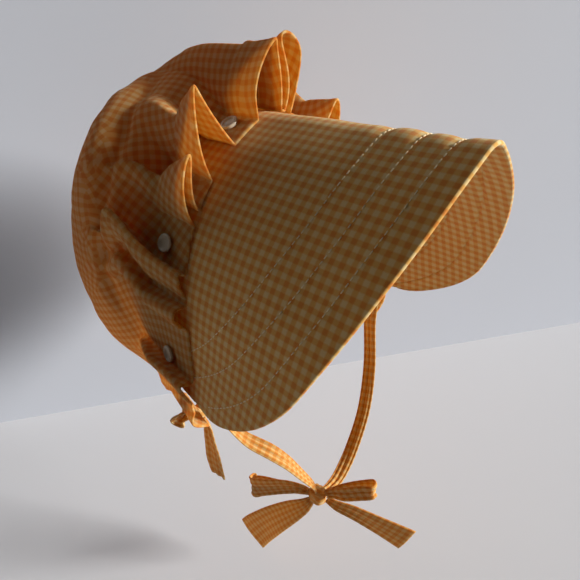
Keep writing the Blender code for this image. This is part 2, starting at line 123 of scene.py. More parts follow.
# A mesh object from points, faces of four and of three corners, and each point's place in the checks.
def addMesh(name, points, quads, checks, material, triangles=None):
    triangles = np.zeros((0, 3), int) if triangles is None else np.asarray(triangles)
    corners = np.concatenate([quads.ravel(), triangles.ravel()])
    starts = np.concatenate([np.arange(len(quads)) * 4, len(quads) * 4 + np.arange(len(triangles)) * 3])
    mesh = bpy.data.meshes.new(name)
    mesh.vertices.add(len(points))
    mesh.vertices.foreach_set("co", (points * toMetres).ravel())
    mesh.loops.add(len(corners))
    mesh.loops.foreach_set("vertex_index", corners)
    mesh.polygons.add(len(starts))
    mesh.polygons.foreach_set("loop_start", starts)
    mesh.update(calc_edges=True)
    layer = mesh.uv_layers.new(name="checks")
    layer.data.foreach_set("uv", checks[corners].ravel())
    mesh.validate()
    mesh.shade_smooth()
    mesh.materials.append(material)
    piece = bpy.data.objects.new(name, mesh)
    bpy.context.collection.objects.link(piece)
    return piece


# A closed cloth wall round a grid of middle points: half the wall to each side along the normal, and a
# rim that stands out by two fifths of the wall, so that the edge is round.
def clothWall(name, middle, wall, checks, material):
    rows, columns = middle.shape[:2]
    wall = np.broadcast_to(wall, (rows, columns))[..., None]
    normals = gridNormals(middle)
    top, under = middle + normals * wall / 2, middle - normals * wall / 2
    edge = [(i, 0) for i in range(rows)] + [(rows - 1, j) for j in range(1, columns)]
    edge += [(i, columns - 1) for i in range(rows - 2, -1, -1)] + [(0, j) for j in range(columns - 2, 0, -1)]
    edge = np.array(edge)
    here = middle[edge[:, 0], edge[:, 1]]
    inward = middle[np.clip(edge[:, 0], 1, rows - 2), np.clip(edge[:, 1], 1, columns - 2)]
    rim = here + unit(here - inward) * wall[edge[:, 0], edge[:, 1]] * 0.4
    size = rows * columns
    number = edge[:, 0] * columns + edge[:, 1]
    outline = 2 * size + np.arange(len(edge))
    following, outlineNext = np.roll(number, -1), np.roll(outline, -1)
    quads = [
        gridQuads(rows, columns),
        gridQuads(rows, columns, size, turned=True),
        np.stack([following, number, outline, outlineNext], axis=1),
        np.stack([outlineNext, outline, number + size, following + size], axis=1),
    ]
    points = np.concatenate([top.reshape(-1, 3), under.reshape(-1, 3), rim])
    flat = checks.reshape(-1, 2)
    return addMesh(name, points, np.concatenate(quads), np.concatenate([flat, flat, flat[number]]), material)


# Sets inputs of a shader node to plain values, by socket name or number.
def setInputs(node, values):
    for socket, value in values.items():
        node.inputs[socket].default_value = value


# A new shader node with the given inputs and settings.
def addNode(tree, kind, values=None, **settings):
    node = tree.nodes.new(kind)
    for key, value in settings.items():
        setattr(node, key, value)
    setInputs(node, values or {})
    return node


# A math node of the given operation; each source is a socket or a number.
def calculate(tree, operation, *sources):
    node = tree.nodes.new("ShaderNodeMath")
    node.operation = operation
    for k, source in enumerate(sources):
        if isinstance(source, (int, float)):
            node.inputs[k].default_value = source
        else:
            tree.links.new(source, node.inputs[k])
    return node.outputs[0]


# A colour between two others, each a socket or a colour, by a factor that is a socket or a number.
def blendColour(tree, factor, one, other):
    node = tree.nodes.new("ShaderNodeMix")
    node.data_type = "RGBA"
    for socket, value in ((node.inputs[0], factor), (node.inputs[6], one), (node.inputs[7], other)):
        if isinstance(value, bpy.types.NodeSocket):
            tree.links.new(value, socket)
        elif isinstance(value, (int, float)):
            socket.default_value = value
        else:
            socket.default_value = (*value, 1.0)
    return node.outputs[2]


# The pale checks are a dim cream-orange instead of the cloth's near-white: painted warm shade. The half and
# full oranges are the dye's own colour, set a little darker as painted shade too.
gingham = {
    "full": (0.71, 0.235, 0.018),
    "half": (0.77, 0.41, 0.085),
    "pale": (0.81, 0.60, 0.26),
    "glow": (0.95, 0.55, 0.09),
    "glowShare": 0.45,
    "slub": (0.55, 0.36, 0.20),
    "slubShare": 0.22,
    "slubsPerCheck": 9.0,
    "threadsPerCheck": 20.0,
    "stripe": 0.25,
    "wobble": 0.10,
    "wobblesPerCheck": 2.2,
    "bumpStrength": 0.35,
    "bumpDistance": 0.0003,
}


# Where both stripes meet the cloth is orange, where one runs it is half orange, and the rest is pale, in a
# dim cream-orange that is painted warm shade rather than the cloth's near-white.
# Fine sine ridges along both threads and uneven noise give the weave. Light shines through by the given
# share.
def ginghamMaterial(name, through, soft):
    material = bpy.data.materials.new(name)
    material.use_nodes = True
    tree = material.node_tree
    link = tree.links.new
    shader = tree.nodes["Principled BSDF"]
    setInputs(shader, {"Roughness": 0.88, "Specular IOR Level": 0.2})
    setInputs(shader, {"Sheen Weight": 0.15, "Sheen Roughness": 0.5})
    place = addNode(tree, "ShaderNodeUVMap", uv_map="checks")
    wobble = addNode(tree, "ShaderNodeTexNoise", {"Scale": gingham["wobblesPerCheck"], "Detail": 2.0})
    slub = addNode(tree, "ShaderNodeTexNoise", {"Scale": gingham["slubsPerCheck"], "Detail": 4.0})
    apart = addNode(tree, "ShaderNodeSeparateXYZ")
    for node in (wobble, slub, apart):
        link(place.outputs[0], node.inputs["Vector"])
    centred = calculate(tree, "SUBTRACT", wobble.outputs[0], 0.5)
    shift = calculate(tree, "MULTIPLY", centred, gingham["wobble"])
    stripes, ridges = [], []
    for axis in (0, 1):
        along = calculate(tree, "ADD", apart.outputs[axis], shift)
        triangle = calculate(tree, "PINGPONG", along, 0.5)
        limits = {"From Min": gingham["stripe"] - soft, "From Max": gingham["stripe"] + soft}
        edge = addNode(tree, "ShaderNodeMapRange", limits, interpolation_type="SMOOTHSTEP")
        link(triangle, edge.inputs["Value"])
        stripes.append(edge.outputs[0])
        turn = calculate(tree, "MULTIPLY", apart.outputs[axis], 2 * math.pi * gingham["threadsPerCheck"])
        ridges.append(calculate(tree, "SINE", turn))
    either = calculate(tree, "MAXIMUM", *stripes)
    both = calculate(tree, "MULTIPLY", *stripes)
    colour = blendColour(tree, either, gingham["pale"], gingham["half"])
    colour = blendColour(tree, both, colour, gingham["full"])
    shade = calculate(tree, "MULTIPLY", slub.outputs[0], gingham["slubShare"])
    colour = blendColour(tree, shade, colour, gingham["slub"])
    link(colour, shader.inputs["Base Color"])
    weave = calculate(tree, "ADD", calculate(tree, "MULTIPLY", *ridges), slub.outputs[0])
    relief = {"Strength": gingham["bumpStrength"], "Distance": gingham["bumpDistance"]}
    bump = addNode(tree, "ShaderNodeBump", relief)
    link(weave, bump.inputs["Height"])
    glow = addNode(tree, "ShaderNodeBsdfTranslucent")
    link(blendColour(tree, gingham["glowShare"], colour, gingham["glow"]), glow.inputs["Color"])
    for node in (shader, glow):
        link(bump.outputs[0], node.inputs["Normal"])
    mixed = addNode(tree, "ShaderNodeMixShader", {0: through})
    link(shader.outputs[0], mixed.inputs[1])
    link(glow.outputs[0], mixed.inputs[2])
    link(mixed.outputs[0], tree.nodes["Material Output"].inputs["Surface"])
    return material


# A material of one colour, which noise darkens by up to the given share.
def plainMaterial(name, colour, roughness, variation=0.1, scale=60.0):
    material = bpy.data.materials.new(name)
    material.use_nodes = True
    tree = material.node_tree
    shader = tree.nodes["Principled BSDF"]
    setInputs(shader, {"Roughness": roughness})
    where = addNode(tree, "ShaderNodeTexCoord")
    noise = addNode(tree, "ShaderNodeTexNoise", {"Scale": scale, "Detail": 3.0})
    tree.links.new(where.outputs["Object"], noise.inputs["Vector"])
    darker = tuple(c * (1 - variation) for c in colour)
    tree.links.new(blendColour(tree, noise.outputs[0], colour, darker), shader.inputs["Base Color"])
    return material


brimCloth = ginghamMaterial("brimGingham", 0.13, 0.09)
crownCloth = ginghamMaterial("crownGingham", 0.48, 0.08)
tieCloth = ginghamMaterial("tieGingham", 0.38, 0.05)
thread = plainMaterial("thread", (0.93, 0.76, 0.46), 0.7)
# The buttons' colour is a darker, browner tone than their own pale pearl: painted shade, so they look as
# though in shadow.
pearl = plainMaterial("pearl", (0.64, 0.55, 0.41), 0.22, 0.18, 140.0)
print("materials ready")


brimSize = {
    "arc": 204.0,
    "depth": 184.0,
    "backY": 39.0,
    "wall": 2.2,
    "sweep": 0.03,
    "ridgeBackZ": 4.0,
    "ridgeFrontZ": 12.0,
    "frontBow": 0.0014,
    "lobeStart": 150.0,
    "lobeDrop": 42.0,
    "cornerStart": 178.0,
    "cornerDrop": 58.0,
    "slopeArc": 240.0,
    "slopeStep": 0.5,
    "halfColumns": 150,
    "crowding": 1.45,
    "backLines": 50,
    "bandLines": 22,
    "bandCrowding": 0.7,
    "backMargin": 4.0,
    "rowGap": 3.0,
    "grooveWidth": 1.3,
    "grooveDepth": 0.9,
    "puckerReach": 4.0,
    "puckerHeight": 0.22,
    "pinchWidth": 9.0,
    "pinchDepth": 1.6,
    "softHeight": 0.7,
    "softWaves": (90.0, 35.0),
    "softSeed": 5,
    "hemBand": 5.0,
    "hemRaise": 0.35,
    "inset": 0.3,
}
# arc, slope at the back edge, slope at the front edge
brimSlopes = (
    (0.0, 0.0, 6.0),
    (9.0, 21.0, 35.0),
    (50.0, 36.0, 47.0),
    (100.0, 62.0, 57.0),
    (150.0, 88.0, 62.0),
    (240.0, 92.0, 61.0),
)
# distance of a row of stitches from the front edge, and its growth down the side
stitchRows = (
    (17.0, 0.5),
    (36.0, 1.9),
    (57.0, 2.9),
)


# The brim's outer face: its slope table is summed along the arc at the back and at the front edge, and
# the cloth runs straight between the two.
def brimSurface(arc, depth):
    table = np.array(brimSlopes)
    pace = brimSize["slopeStep"]
    fine = np.linspace(0.0, brimSize["slopeArc"], round(brimSize["slopeArc"] / pace) + 1)
    middle = (fine[1:] + fine[:-1]) / 2
    ends = []
    for column in (1, 2):
        slope = np.radians(np.interp(middle, table[:, 0], table[:, column]))
        out = np.concatenate([[0.0], np.cumsum(np.cos(slope) * pace)])
        down = np.concatenate([[0.0], np.cumsum(np.sin(slope) * pace)])
        ends.append((out, down))
    length = np.abs(arc)
    share = depth / brimSize["depth"]
    out = np.interp(length, fine, ends[0][0]) * (1 - share) + np.interp(length, fine, ends[1][0]) * share
    down = np.interp(length, fine, ends[0][1]) * (1 - share) + np.interp(length, fine, ends[1][1]) * share
    ridge = brimSize["ridgeBackZ"] + (brimSize["ridgeFrontZ"] - brimSize["ridgeBackZ"]) * share
    y = brimSize["backY"] - depth + brimSize["sweep"] * length
    return np.stack([np.sign(arc) * out, y, ridge - down], axis=-1)


# The outward normal of that face, from differences of one millimetre.
def brimNormal(arc, depth):
    along = brimSurface(arc + 0.5, depth) - brimSurface(arc - 0.5, depth)
    across = brimSurface(arc, depth - 0.5) - brimSurface(arc, depth + 0.5)
    return unit(np.cross(along, across))


# Back and front edge of the brim's cloth at each arc: a shallow bow with rounded lobes.
def brimEdges(arc):
    length = np.abs(arc)
    lobe = np.clip((length - brimSize["lobeStart"]) / (brimSize["arc"] - brimSize["lobeStart"]), 0, 1)
    front = brimSize["depth"] - brimSize["frontBow"] * length**2
    front = front - brimSize["lobeDrop"] * (1 - np.sqrt(1 - lobe**2))
    corner = np.clip((length - brimSize["cornerStart"]) / (brimSize["arc"] - brimSize["cornerStart"]), 0, 1)
    back = brimSize["cornerDrop"] * (1 - np.sqrt(1 - corner**2))
    return back, front


# How far each row of stitches lies behind the front edge: its first distance plus its growth times the
# fourth power of the arc in decimetres.
def stitchDistance(arc):
    return [first + growth * (np.abs(arc) / 100) ** 4 for first, growth in stitchRows]


# How far the brim's cloth stands off its plain face: soft unevenness of the place.
def brimSoftness(place):
    return brimSize["softHeight"] * unevenness(place, brimSize["softSeed"], *brimSize["softWaves"])


# How deep a row of stitches pinches the top fold: a bell curve of the arc.
def topPinch(arc):
    return brimSize["pinchDepth"] * np.exp(-((arc / brimSize["pinchWidth"]) ** 2))


# The brim's grid follows its rows of stitches. Each row sinks a groove, the cloth swells a little between
# two rows, and the top fold is pinched where a row crosses it.
def makeBrim():
    share = np.linspace(-1.0, 1.0, 2 * brimSize["halfColumns"] + 1)
    arc = brimSize["arc"] * np.sign(share) * (1 - (1 - np.abs(share)) ** brimSize["crowding"])
    back, front = brimEdges(arc)
    rows = [
        np.maximum(front - distance, back + brimSize["backMargin"] + brimSize["rowGap"] * k)
        for k, distance in enumerate(reversed(stitchDistance(arc)))
    ]
    knots = [back, *rows, front]
    lines = []
    for k, (low, high) in enumerate(zip(knots, knots[1:])):
        count = brimSize["bandLines"] if k else brimSize["backLines"]
        t = np.arange(count) / count
        t = t - brimSize["bandCrowding"] * np.sin(2 * np.pi * t) / (2 * np.pi) if k else t
        lines.append(low[:, None] + (high - low)[:, None] * t[None, :])
    depth = np.concatenate([*lines, front[:, None]], axis=1)
    arcs = np.repeat(arc[:, None], depth.shape[1], axis=1)
    away = [depth - row[:, None] for row in rows]
    groove = sum(np.exp(-((distance / brimSize["grooveWidth"]) ** 2)) for distance in away)
    pinch = sum(np.exp(-((distance / brimSize["puckerReach"]) ** 2)) for distance in away)
    puckers = brimSize["puckerHeight"] * np.sin(arcs * 0.9 + 2.0 * np.sin(arcs * 0.07)) * pinch
    place = brimSurface(arcs, depth)
    hem = front[:, None] - brimSize["hemBand"]
    wall = brimSize["wall"] - brimSize["grooveDepth"] * np.minimum(groove, 1)
    wall = wall + brimSize["hemRaise"] * step(depth, hem, hem + 1.0)
    lift = puckers - np.minimum(pinch, 1) * topPinch(arcs) + brimSoftness(place)
    lift = lift - brimSize["inset"] - wall / 2
    middle = place + brimNormal(arcs, depth) * lift[..., None]
    checks = np.stack([arcs / check, depth / check], axis=-1)
    return clothWall("brimCloth", middle, wall, checks, brimCloth)


stitchSize = {
    "length": 2.6,
    "gap": 1.1,
    "radius": 0.36,
    "sunk": 0.25,
    "turns": 6,
    "reach": 196.0,
    "samples": 1600,
    "backMargin": 6.0,
    "endMargin": 2.0,
}
# share of the length from a stitch's middle, share of the radius
stitchProfile = ((-0.5, 0.35), (-0.32, 1.0), (0.32, 1.0), (0.5, 0.35))


# Rows of short raised stitches: capsules of one template, turned along the row and laid on the brim.
def makeStitches():
    length, turns = stitchSize["length"], stitchSize["turns"]
    centres, runs, ups = [], [], []
    for number in range(len(stitchRows)):
        fine = np.linspace(-stitchSize["reach"], stitchSize["reach"], stitchSize["samples"])
        back, front = brimEdges(fine)
        depth = front - stitchDistance(fine)[number]
        keep = depth > back + stitchSize["backMargin"]
        fine, depth = fine[keep], depth[keep]
        line = brimSurface(fine, depth)
        travelled = np.concatenate([[0], np.cumsum(np.linalg.norm(np.diff(line, axis=0), axis=1))])
        end = travelled[-1] - stitchSize["endMargin"]
        at = np.arange(stitchSize["endMargin"], end, length + stitchSize["gap"])
        arcAt, depthAt = np.interp(at, travelled, fine), np.interp(at, travelled, depth)
        up = brimNormal(arcAt, depthAt)
        place = brimSurface(arcAt, depthAt)
        point = place + up * (brimSoftness(place) - stitchSize["sunk"])[:, None]
        centres.append(point - up * topPinch(arcAt)[:, None])
        runs.append(unit(np.gradient(point, axis=0)))
        ups.append(up)
    centre, run, up = (np.concatenate(x) for x in (centres, runs, ups))
    side = np.cross(run, up)
    angle = np.arange(turns) * 2 * np.pi / turns
    ring = np.cos(angle)[:, None, None] * side[None] + np.sin(angle)[:, None, None] * up[None]
    rings = [
        centre[None] + run[None] * along * length + ring * stitchSize["radius"] * wide
        for along, wide in stitchProfile
    ]
    points = np.stack(rings, axis=0).transpose(2, 0, 1, 3)
    last = (len(rings) - 1) * turns
    caps = [[0, 1, 2, 3], [0, 3, 4, 5]]
    caps += [[last + 3, last + 2, last + 1, last], [last + 5, last + 4, last + 3, last]]
    template = np.concatenate([ringQuads(len(rings), turns), caps])
    starts = np.arange(len(points)) * len(rings) * turns
    quads = (template[None] + starts[:, None, None]).reshape(-1, 4)
    flat = points.reshape(-1, 3)
    return addMesh("brimStitches", flat, quads, flat[:, :2] / check, thread)


brimPiece = makeBrim()
stitchPiece = makeStitches()
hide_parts("brim")
for piece in (brimPiece, stitchPiece):
    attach(piece, "root")
print("brim ready")


crownSize = {
    "wall": 0.9,
    "cadWall": 1.1,
    "arc": 226.0,
    "cornerStart": 190.0,
    "cornerDown": 9.0,
    "tuckStart": 203.0,
    "cornerIn": 13.0,
    "lowestButton": 182.0,
    "gap": 0.45,
    "hemBand": 5.0,
    "hemWall": 1.6,
    "creaseRow": 4.1,
    "creaseDepth": 3.0,
    "cutShare": 0.8,
    "gathers": (31.0, 43.0, 57.0, 71.0),
    "gatherHeight": 0.5,
    "gatherFade": 1.1,
    "napeFolds": 13,
    "napeHeight": 1.3,
    "creaseWidth": 0.22,
    "fanRadius": 215.0,
    "fanShrink": 0.62,
    "coarseness": 3,
}
# Depth of the ruffle's rows in front of the brim's back edge, at the hem, at the buttons and behind them:
# first at the top, then how much further forward at the lowest button.
seats = ((39.0, 28.0), (22.0, 16.0), (10.5, 16.0))
# arc from, arc to, height, lean, widening, forward, share of the height at the hem, the brim's edge, rise
# and crease
folds = (
    (-226.0, -212.0, 5.0, 1.0, 0.0, 0.0, 1.0, 0.8, 0.5, 0.2),
    (-212.0, -205.0, 0.0, 0.0, 0.0, 0.0, 0.0, 0.0, 0.0, 0.0),
    (-205.0, -189.0, 13.0, 10.0, 1.0, 0.0, 0.7, 1.0, 0.5, 0.2),
    (-189.0, -154.0, 0.0, 0.0, 0.0, 0.0, 0.0, 0.0, 0.0, 0.0),
    (-154.0, -138.0, 9.0, 2.0, 2.0, 0.0, 1.0, 1.0, 0.9, 0.4),
    (-138.0, -134.0, 0.0, 0.0, 0.0, 0.0, 0.0, 0.0, 0.0, 0.0),
    (-134.0, -119.0, 17.0, 18.0, 1.0, 0.0, 0.35, 0.9, 0.9, 0.35),
    (-119.0, -90.5, 0.0, 0.0, 0.0, 0.0, 0.0, 0.0, 0.0, 0.0),
    (-90.5, -81.0, 25.0, 25.0, 3.5, 4.0, 1.0, 0.5, 0.25, 0.08),
    (-81.0, -62.0, 0.0, 0.0, 0.0, 0.0, 0.0, 0.0, 0.0, 0.0),
    (-62.0, -35.5, 47.0, 11.0, -2.5, 6.0, 1.0, 0.55, 0.22, 0.06),
    (-35.5, -13.0, 0.0, 0.0, 0.0, 0.0, 0.0, 0.0, 0.0, 0.0),
    (-13.0, 6.5, 40.0, 4.0, -2.5, 2.0, 1.0, 0.92, 0.42, 0.17),
    (6.5, 9.5, 0.0, 0.0, 0.0, 0.0, 0.0, 0.0, 0.0, 0.0),
    (9.5, 15.0, 44.0, -8.5, 3.0, 2.0, 1.0, 0.7, 0.3, 0.1),
    (15.0, 48.0, 0.0, 0.0, 0.0, 0.0, 0.0, 0.0, 0.0, 0.0),
    (48.0, 66.0, 26.0, -7.0, 0.0, 0.0, 1.0, 0.8, 0.45, 0.1),
    (66.0, 82.5, 0.0, 0.0, 0.0, 0.0, 0.0, 0.0, 0.0, 0.0),
    (82.5, 100.0, 22.0, -9.0, 0.0, 0.0, 1.0, 0.8, 0.6, 0.2),
    (100.0, 124.0, 0.0, 0.0, 0.0, 0.0, 0.0, 0.0, 0.0, 0.0),
    (124.0, 144.0, 18.0, -6.0, 0.0, 0.0, 1.0, 0.8, 0.6, 0.2),
    (144.0, 156.0, 0.0, 0.0, 0.0, 0.0, 0.0, 0.0, 0.0, 0.0),
    (156.0, 175.0, 14.0, -4.0, 0.0, 0.0, 1.0, 0.8, 0.6, 0.2),
    (175.0, 189.0, 0.0, 0.0, 0.0, 0.0, 0.0, 0.0, 0.0, 0.0),
    (189.0, 210.0, 9.0, -3.0, 0.0, 0.0, 1.0, 0.8, 0.5, 0.2),
    (210.0, 226.0, 5.0, -1.0, 0.0, 0.0, 1.0, 0.8, 0.5, 0.2),
)
# top y, z, upper side x, y, z, lower side x, y, z, neck edge x, y, z
sections = (
    (66.0, 24.0, 70.0, 46.0, -17.0, 94.0, 49.0, -90.0, 84.0, 49.0, -201.0),
    (98.0, 25.0, 80.0, 62.0, -13.0, 98.0, 62.0, -98.0, 83.0, 55.0, -202.0),
    (120.0, 19.0, 87.0, 86.0, -12.0, 106.0, 80.0, -108.0, 80.0, 60.0, -203.0),
    (148.0, -18.0, 89.0, 120.0, -48.0, 104.0, 106.0, -140.0, 75.0, 65.0, -204.0),
    (157.0, -80.0, 80.0, 136.0, -98.0, 90.0, 116.0, -166.0, 67.0, 68.0, -205.0),
    (144.0, -142.0, 62.0, 128.0, -152.0, 71.0, 108.0, -188.0, 59.0, 70.0, -207.0),
    (110.0, -188.0, 42.0, 104.0, -193.0, 53.0, 92.0, -204.0, 53.0, 72.0, -210.0),
    (80.0, -217.0, 17.0, 80.0, -217.0, 35.0, 80.0, -217.0, 49.0, 72.5, -216.0),
)
sectionAt = (0.0, 0.33, 0.68, 1.0)


# One section of the crown: a curve from the top through both side points to the neck edge, begun one point
# before the top on the other side.
def sectionCurve(line, share):
    topY, topZ, upperX, upperY, upperZ, lowerX, lowerY, lowerZ, neckX, neckY, neckZ = line
    points = (
        (-upperX, upperY, upperZ),
        (0.0, topY, topZ),
        (upperX, upperY, upperZ),
        (lowerX, lowerY, lowerZ),
        (neckX, neckY, neckZ),
    )
    curve = throughPoints(points, np.interp(np.abs(share), sectionAt, (1.0, 2.0, 3.0, 4.0)))
    curve[:, 0] *= np.sign(share)
    return curve


# Depth of a seat at an arc: it grows with the square of the arc as far as the lowest button.
def seatDepth(arc, seat):
    return seat[0] + seat[1] * np.minimum(np.abs(arc) / crownSize["lowestButton"], 1.0) ** 2


# How far an arc is into the corner that begins at start: the square of its share of the way to the
# crown's end.
def cornerShare(arc, start):
    return np.clip((np.abs(arc) - start) / (crownSize["arc"] - start), 0, 1) ** 2


# The crown without its folds: three rows on the brim and then the sections, with a cubic curve through
# them. Between the rows on the brim the cloth runs straight.
def crownBase(share, row):
    arc = share * crownSize["arc"]
    hang = cornerShare(arc, crownSize["cornerStart"])
    tuck = cornerShare(arc, crownSize["tuckStart"])
    lift = crownSize["gap"] + crownSize["cadWall"] / 2
    rows = []
    for seat in seats:
        depths = seatDepth(arc, seat)
        flat = brimSurface(arc, depths) + brimNormal(arc, depths) * lift
        flat[:, 0] -= np.sign(arc) * crownSize["cornerIn"] * tuck
        flat[:, 2] -= crownSize["cornerDown"] * hang
        rows.append(flat)
    rows += [sectionCurve(line, share) for line in sections]
    if row < 2:
        low = int(row)
        return rows[low] * (1 - (row - low)) + rows[low + 1] * (row - low)
    return throughPoints(np.stack(rows), np.array([row]))[0]


# Middle of the crown's cloth at one row: across a standing fold the height follows the 1.2th power of a
# sine, the fold leans with the 1.5th power of that, its two sides are set apart by a sine, and all fade
# from row to row.
def crownRow(fold, part, row):
    table = np.array(folds)[fold]
    start, end, height, lean, widening, forward, hem, edge, rise, crease = table.T
    keep = np.stack([hem, (hem + edge) / 2, edge, rise, crease, 0 * rise])
    kept = throughPoints(keep, np.array([min(row, 5.0)]))[0]
    climb = np.sin(np.pi * np.minimum(part, 1 - part)) ** 1.2
    sideways = lean * climb**1.5 - widening * np.sin(2 * np.pi * part) * climb
    share = (start + (end - start) * part + sideways * kept) / crownSize["arc"]
    here = crownBase(share, row)
    along = crownBase(share + 0.004, row) - crownBase(share - 0.004, row)
    if row < 5:
        out = unit(np.cross(along, np.array([0.0, 1.0, 0.0])))
    else:
        last = len(sections) + 2
        out = unit(np.cross(along, crownBase(share, min(row + 0.05, last)) - crownBase(share, row - 0.05)))
    place = here + out * (height * climb * kept)[:, None]
    place[:, 1] -= forward * climb * kept
    return place, share


# Lays a grid of cloth flat: it starts as a fan whose outer edge has the hem's length, and every step
# moves each point by the mean error in length of its edges and diagonals, and by most of its last move
# again.
def flattened(points, rounds=700, carried=0.96):
    rows, columns = points.shape[:2]
    hem = np.concatenate([[0], np.cumsum(np.linalg.norm(np.diff(points[:, 0], axis=0), axis=1))])
    hem -= hem[rows // 2]
    inward = np.concatenate([[0], np.cumsum(np.linalg.norm(np.diff(points, axis=1), axis=2).mean(axis=0))])
    outer = crownSize["fanRadius"]
    angle = hem / outer
    radius = outer * np.exp(-inward / (crownSize["fanShrink"] * outer))
    flat = np.stack([np.sin(angle)[:, None] * radius, np.cos(angle)[:, None] * radius], axis=-1)
    pairs = []
    for di, dj in ((1, 0), (0, 1), (1, 1), (1, -1)):
        a = (slice(0, rows - di), slice(max(0, -dj), columns - max(0, dj)))
        b = (slice(di, rows), slice(max(0, dj), columns + min(0, dj)))
        pairs.append((a, b, np.linalg.norm(points[a] - points[b], axis=-1)))
    degree = np.zeros((rows, columns, 1))
    for a, b, _ in pairs:
        degree[a] += 1
        degree[b] += 1
    move = np.zeros_like(flat)
    for _ in range(rounds):
        push = np.zeros_like(flat)
        for a, b, wanted in pairs:
            gap = flat[b] - flat[a]
            size = np.maximum(np.linalg.norm(gap, axis=-1), 1e-6)
            pull = gap * ((size - wanted) / size)[..., None]
            push[a] += pull
            push[b] -= pull
        move = carried * move + 0.5 * push / degree
        flat += move
    stretch = [np.linalg.norm(flat[a] - flat[b], axis=-1).sum() / wanted.sum() for a, b, wanted in pairs]
    print("flat cloth against the made up cloth:", np.round(stretch, 3))
    return flat


# A coarse grid read at fractional row and column numbers, in straight lines between its points.
def refined(coarse, rows, columns):
    for axis, at in ((0, rows), (1, columns)):
        low = np.clip(at.astype(int), 0, coarse.shape[axis] - 2)
        part = np.clip(at - low, 0, 1).reshape((-1, 1, 1) if axis == 0 else (1, -1, 1))
        coarse = np.take(coarse, low, axis) * (1 - part) + np.take(coarse, low + 1, axis) * part
    return coarse


# Columns of the grid across a fold: more for a high or a strongly leaning one.
def foldColumns(height, lean):
    if height == 0:
        return 6
    if height < 10:
        return 12
    return 30 if height > 22 or lean > 17 else 18


# How far the crown's cloth stands off its folded surface, by share of the arc and row: seeded sine gathers
# behind the ruffle, sine folds at the nape, a bell-shaped crease across, and soft unevenness.
def crownLift(share, rows, points):
    chance = np.random.default_rng(11)
    gathers = np.zeros_like(share)
    for frequency in crownSize["gathers"]:
        drift = 0.6 * chance.normal()
        gathers += np.sin(2 * np.pi * frequency * share + drift * rows + chance.uniform(0, 6)) / 2.4
    behind = step(rows, 1.9, 2.3) * np.exp(-np.maximum(rows - 2, 0) / crownSize["gatherFade"])
    nape = step(rows, 6.8, 10.0)
    napeFolds = np.sin(2 * np.pi * crownSize["napeFolds"] * share + 1.5 * np.sin(9 * share)) * (1 - share**2)
    away = rows - crownSize["creaseRow"] - 0.25 * np.sin(7 * share)
    crease = np.exp(-((away / crownSize["creaseWidth"]) ** 2))
    crease = crease * step(np.abs(share), 0.05, 0.2) * (1 - step(np.abs(share), 0.6, 0.8))
    puff = step(rows, 2.6, 4.5)
    lift = crownSize["gatherHeight"] * behind * gathers + crownSize["napeHeight"] * nape * napeFolds
    lift += 1.6 * puff * unevenness(points, 21, 110.0, 45.0) + 0.5 * puff * unevenness(points, 8, 30.0, 14.0)
    return lift - crownSize["creaseDepth"] * crease


# The crown is a grid of the folds' columns by the sections' rows, lifted along its normals, with a
# thicker hem band. The cloth laid flat gives each point its place in the checks, which run straight back
# at the top, and its area: the sum of the half products of its squares' diagonals. The cut rectangle is
# filled to cutShare.
def makeCrown():
    fold, part = [], []
    for number, line in enumerate(folds):
        columns = foldColumns(line[2], line[3])
        fold += [number] * columns
        part += [k / columns for k in range(columns)]
    fold = np.array(fold + [len(folds) - 1])
    part = np.array(part + [1.0])
    row = np.concatenate([np.linspace(0, 1, 13)[:-1], np.linspace(1, 2, 7)[:-1], np.linspace(2, 10, 91)])
    made = [crownRow(fold, part, r) for r in row]
    middle = np.stack([m[0] for m in made], axis=1)
    share = np.stack([m[1] for m in made], axis=1)
    lift = crownLift(share, np.broadcast_to(row, share.shape), middle)
    middle = middle + gridNormals(middle) * lift[..., None]
    fromHem = np.concatenate([[0], np.cumsum(np.linalg.norm(np.diff(middle, axis=1), axis=2).mean(axis=0))])
    band = 1 - step(fromHem, crownSize["hemBand"], crownSize["hemBand"] + 1.2)
    wall = crownSize["wall"] + (crownSize["hemWall"] - crownSize["wall"]) * band
    every = crownSize["coarseness"]
    coarse = flattened(middle[::every, ::every])
    flat = refined(coarse, np.arange(middle.shape[0]) / every, np.arange(middle.shape[1]) / every)
    centre = flat.shape[0] // 2
    run = flat[centre, 40] - flat[centre, 0]
    turn = math.atan2(run[0], run[1])
    checks = flat @ np.array([[math.cos(turn), math.sin(turn)], [-math.sin(turn), math.cos(turn)]]) / check
    crossed = np.cross(flat[1:, 1:] - flat[:-1, :-1], flat[:-1, 1:] - flat[1:, :-1])
    area = np.abs(crossed).sum() / 2 * toMetres**2
    extent = np.ptp(flat.reshape(-1, 2), axis=0) * toMetres
    extent = extent * np.sqrt(area / (crownSize["cutShare"] * extent[0] * extent[1]))
    print("the crown is cut from", np.round(extent, 3), "m, area", round(float(area), 4))
    piece = clothWall("crownCloth", middle, wall[None, :], checks, crownCloth)
    return piece, tuple(float(e) for e in extent), float(area)


crownPiece, crownFlat, crownArea = makeCrown()
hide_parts("crown")
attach(crownPiece, "root")
print("crown ready")


buttonSize = {"radius": 6.0, "height": 2.6, "dish": 0.49, "turns": 48, "arcs": (22.0, 73.0, 107.0, 182.0)}
# share of the radius, share of the height
buttonProfile = (
    (0.12, 0.50),
    (0.50, 0.52),
    (0.66, 0.62),
    (0.76, 0.92),
    (0.86, 1.00),
    (0.96, 0.86),
    (1.00, 0.58),
    (0.98, 0.30),
    (0.90, 0.06),
    (0.80, 0.0),
)


